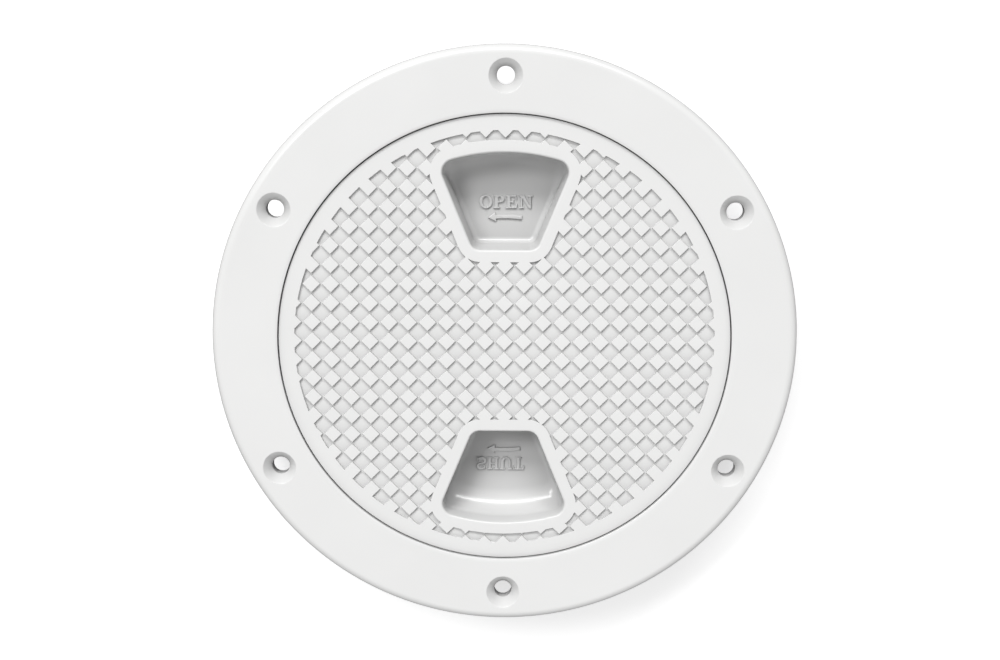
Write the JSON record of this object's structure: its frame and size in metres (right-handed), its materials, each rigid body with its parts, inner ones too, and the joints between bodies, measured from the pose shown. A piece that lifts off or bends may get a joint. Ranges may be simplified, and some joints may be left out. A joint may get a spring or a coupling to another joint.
{
  "type": "round deck hatch",
  "caption": "Round screw-out inspection hatch for a boat deck: flanged mounting ring with countersunk screw holes, and a threaded lid with diamond tread and two finger wells.",
  "frame": {"origin": "centre of the screw-hole circle, on the underside of the flange (the deck plane)", "axes": "+Z out of the deck along the thread's axis; +Y towards the finger well marked for opening, with the lid shut; +X to its right"},
  "size_m": [0.145, 0.145, 0.0215],
  "materials": {
    "ring_plastic": "white satin moulded plastic",
    "lid_plastic": "white satin moulded plastic",
    "seal_rubber": "black nitrile rubber"
  },
  "bodies": {
    "ring": {"mounting_ring": "ring_plastic"},
    "seal": {"o_ring": "seal_rubber"},
    "lid": {"screw_lid": "lid_plastic"}
  },
  "joints": [
    {"name": "lid_rise", "type": "slide", "parent": "ring", "child": "seal", "axis": [0, 0, 1], "range_m": [0, 0.0061]},
    {"name": "lid_turn", "type": "hinge", "parent": "seal", "child": "lid", "pos_m": [0, 0, 0], "axis": [0, 0, 1], "range_deg": [0, 540]}
  ],
  "couplings": [
    {"joint": "lid_rise", "follows": "lid_turn", "m_per_rad": 0.00063662}
  ]
}
